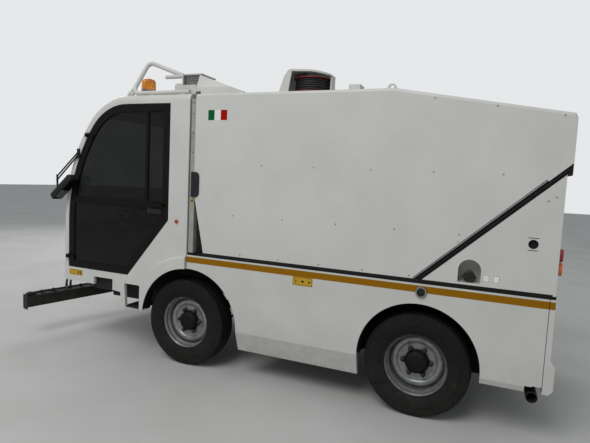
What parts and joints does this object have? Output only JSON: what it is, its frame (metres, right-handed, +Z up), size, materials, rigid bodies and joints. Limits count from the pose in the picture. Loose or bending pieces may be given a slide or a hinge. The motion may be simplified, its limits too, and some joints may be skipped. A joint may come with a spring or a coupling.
{
  "type": "street washer truck",
  "caption": "Compact forward-cab street washing truck with a boxed water tank body, a roof hose reel and a swivelling wash bar ahead of the cab",
  "frame": {"origin": "On the ground, at the middle of the whole truck's bounding box", "axes": "+X forward, +Y to the truck's left, +Z up"},
  "size_m": [4.6743, 1.9674, 2.6783],
  "materials": {
    "white_paint": "gloss white paint",
    "chassis_black": "satin black chassis paint",
    "door_black": "satin black paint",
    "rim_silver": "grey steel wheel paint",
    "tyre_rubber": "matt black tyre rubber",
    "tinted_glass": "dark tinted glass",
    "clear_glass": "windscreen glass",
    "black_plastic": "grained black plastic",
    "grey_rubber": "grey ribbed rubber",
    "black_rubber": "black rubber",
    "seat_cloth": "dark seat cloth",
    "amber_lens": "amber lens",
    "red_lens": "red and amber lens",
    "lamp_lens": "clear lamp lens",
    "engine_iron": "cast iron",
    "bright_steel": "bare steel",
    "reel_red": "dark red paint"
  },
  "bodies": {
    "chassis": {"air_bellows": "grey_rubber", "air_duct": "white_paint", "arch_liner_left": "chassis_black", "arch_liner_right": "chassis_black", "bar_hoses": "black_rubber", "beacon": "amber_lens", "body_deck": "chassis_black", "body_fittings": "bright_steel", "cab_back": "white_paint", "cab_floor": "chassis_black", "cab_roof": "white_paint", "cab_side_left": "white_paint", "cab_side_right": "white_paint", "chassis_frame": "chassis_black", "dashboard": "black_plastic", "engine_block": "engine_iron", "exhaust": "chassis_black", "filler_caps": "bright_steel", "front_axle": "chassis_black", "front_frame": "white_paint", "front_lamps": "lamp_lens", "front_panel": "white_paint", "mirrors": "black_plastic", "pump_housing": "white_paint", "rear_axle": "chassis_black", "rear_bumper": "white_paint", "rear_lamps": "red_lens", "reel_hood": "white_paint", "roof_guard": "white_paint", "seam_band": "black_rubber", "seats": "seat_cloth", "side_cover": "black_plastic", "skirt_left": "white_paint", "skirt_right": "white_paint", "steering_wheel": "black_plastic", "tank_body": "white_paint", "windscreen": "clear_glass", "wiper": "black_plastic"},
    "knuckle_left": {"knuckle_left": "chassis_black"},
    "knuckle_right": {"knuckle_right": "chassis_black"},
    "tie_rod": {"tie_rod": "chassis_black"},
    "front_left_wheel": {"wheel_front_left": "rim_silver", "tyre_front_left": "tyre_rubber"},
    "front_right_wheel": {"wheel_front_right": "rim_silver", "tyre_front_right": "tyre_rubber"},
    "rear_left_wheel": {"wheel_rear_left": "rim_silver", "tyre_rear_left": "tyre_rubber"},
    "rear_right_wheel": {"wheel_rear_right": "rim_silver", "tyre_rear_right": "tyre_rubber"},
    "left_door": {"door_left": "door_black", "door_glass_left": "tinted_glass"},
    "right_door": {"door_right": "door_black", "door_glass_right": "tinted_glass"},
    "lift_arm": {"lift_arm": "chassis_black"},
    "wash_bar": {"wash_bar": "chassis_black"},
    "hose_reel": {"hose_reel": "reel_red"},
    "manhole_lid": {"manhole_lid": "white_paint"},
    "rear_door": {"rear_door": "white_paint"}
  },
  "joints": [
    {"name": "steer_left", "type": "hinge", "parent": "chassis", "child": "knuckle_left", "pos_m": [0.512, 0.582, 0.383], "axis": [0, 0, 1], "range_deg": [-35, 35]},
    {"name": "steer_right", "type": "hinge", "parent": "chassis", "child": "knuckle_right", "pos_m": [0.512, -0.582, 0.383], "axis": [0, 0, 1], "range_deg": [-35, 35]},
    {"name": "tie_rod_pivot", "type": "hinge", "parent": "knuckle_left", "child": "tie_rod", "pos_m": [0.382, 0.582, 0.308], "axis": [0, 0, 1], "range_deg": [-35, 35]},
    {"name": "front_left_spin", "type": "hinge", "parent": "knuckle_left", "child": "front_left_wheel", "pos_m": [0.512, 0.709, 0.383], "axis": [0, 1, 0], "continuous": true},
    {"name": "front_right_spin", "type": "hinge", "parent": "knuckle_right", "child": "front_right_wheel", "pos_m": [0.512, -0.709, 0.383], "axis": [0, 1, 0], "continuous": true},
    {"name": "rear_left_spin", "type": "hinge", "parent": "chassis", "child": "rear_left_wheel", "pos_m": [-1.478, 0.709, 0.383], "axis": [0, 1, 0], "continuous": true},
    {"name": "rear_right_spin", "type": "hinge", "parent": "chassis", "child": "rear_right_wheel", "pos_m": [-1.478, -0.709, 0.383], "axis": [0, 1, 0], "continuous": true},
    {"name": "left_door_hinge", "type": "hinge", "parent": "chassis", "child": "left_door", "pos_m": [1.842, 0.866, 0.85], "axis": [0.1963, 0, -0.9806], "range_deg": [0, 65]},
    {"name": "right_door_hinge", "type": "hinge", "parent": "chassis", "child": "right_door", "pos_m": [1.842, -0.866, 0.85], "axis": [-0.1963, 0, 0.9806], "range_deg": [0, 65]},
    {"name": "bar_lift", "type": "hinge", "parent": "chassis", "child": "lift_arm", "pos_m": [1.672, 0, 0.5], "axis": [0, -1, 0], "range_deg": [0, 20]},
    {"name": "bar_swing", "type": "hinge", "parent": "lift_arm", "child": "wash_bar", "pos_m": [2.066, 0, 0.45], "axis": [0, 0, 1], "range_deg": [-37.4, 12.6], "deforming": ["bar_hoses"]},
    {"name": "reel_spin", "type": "hinge", "parent": "chassis", "child": "hose_reel", "pos_m": [-0.28, 0, 2.542], "axis": [0, 0, 1], "continuous": true},
    {"name": "manhole_hinge", "type": "hinge", "parent": "chassis", "child": "manhole_lid", "pos_m": [-0.728, 0, 2.398], "axis": [0, 1, 0], "range_deg": [0, 95]},
    {"name": "rear_door_hinge", "type": "hinge", "parent": "chassis", "child": "rear_door", "pos_m": [-2.332, 0, 1.722], "axis": [0, 1, 0], "range_deg": [0, 85]}
  ],
  "couplings": [
    {"joint": "steer_right", "follows": "steer_left", "ratio": 1},
    {"joint": "tie_rod_pivot", "follows": "steer_left", "ratio": -1}
  ]
}
